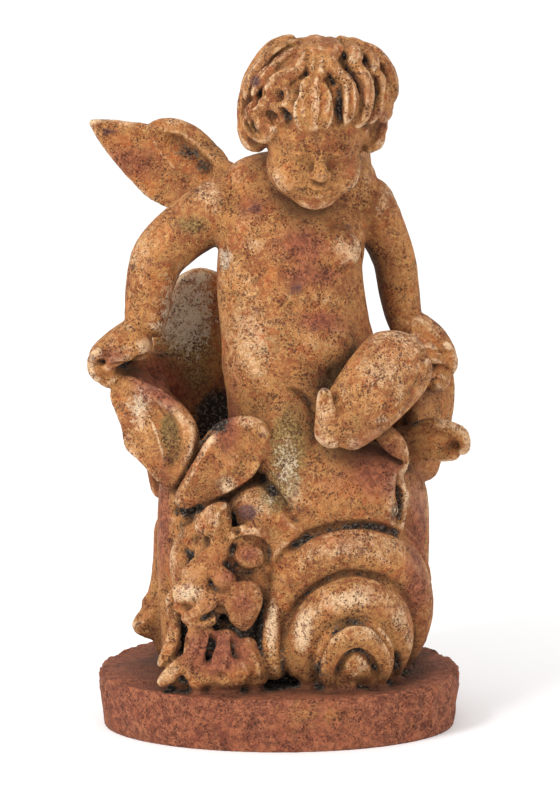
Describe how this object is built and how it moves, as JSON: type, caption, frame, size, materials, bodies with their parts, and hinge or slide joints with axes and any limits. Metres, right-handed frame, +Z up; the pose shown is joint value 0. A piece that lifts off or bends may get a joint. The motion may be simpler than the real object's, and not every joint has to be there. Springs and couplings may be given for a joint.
{
  "type": "cherub garden statue",
  "caption": "Standing garden statue of a winged child seated in a flower cup above a sea beast's head and a snail shell, on a round plinth, cast as one stone.",
  "frame": {"origin": "centre of the plinth's underside, midway between its front and back edges", "axes": "+X to the viewer's right, +Y to the back, +Z up"},
  "size_m": [0.33, 0.316, 0.597],
  "materials": {
    "stone": "weathered, pitted, ochre with rust, moss and dirt"
  },
  "bodies": {
    "root": {"cherub_statue": "stone"}
  },
  "joints": []
}
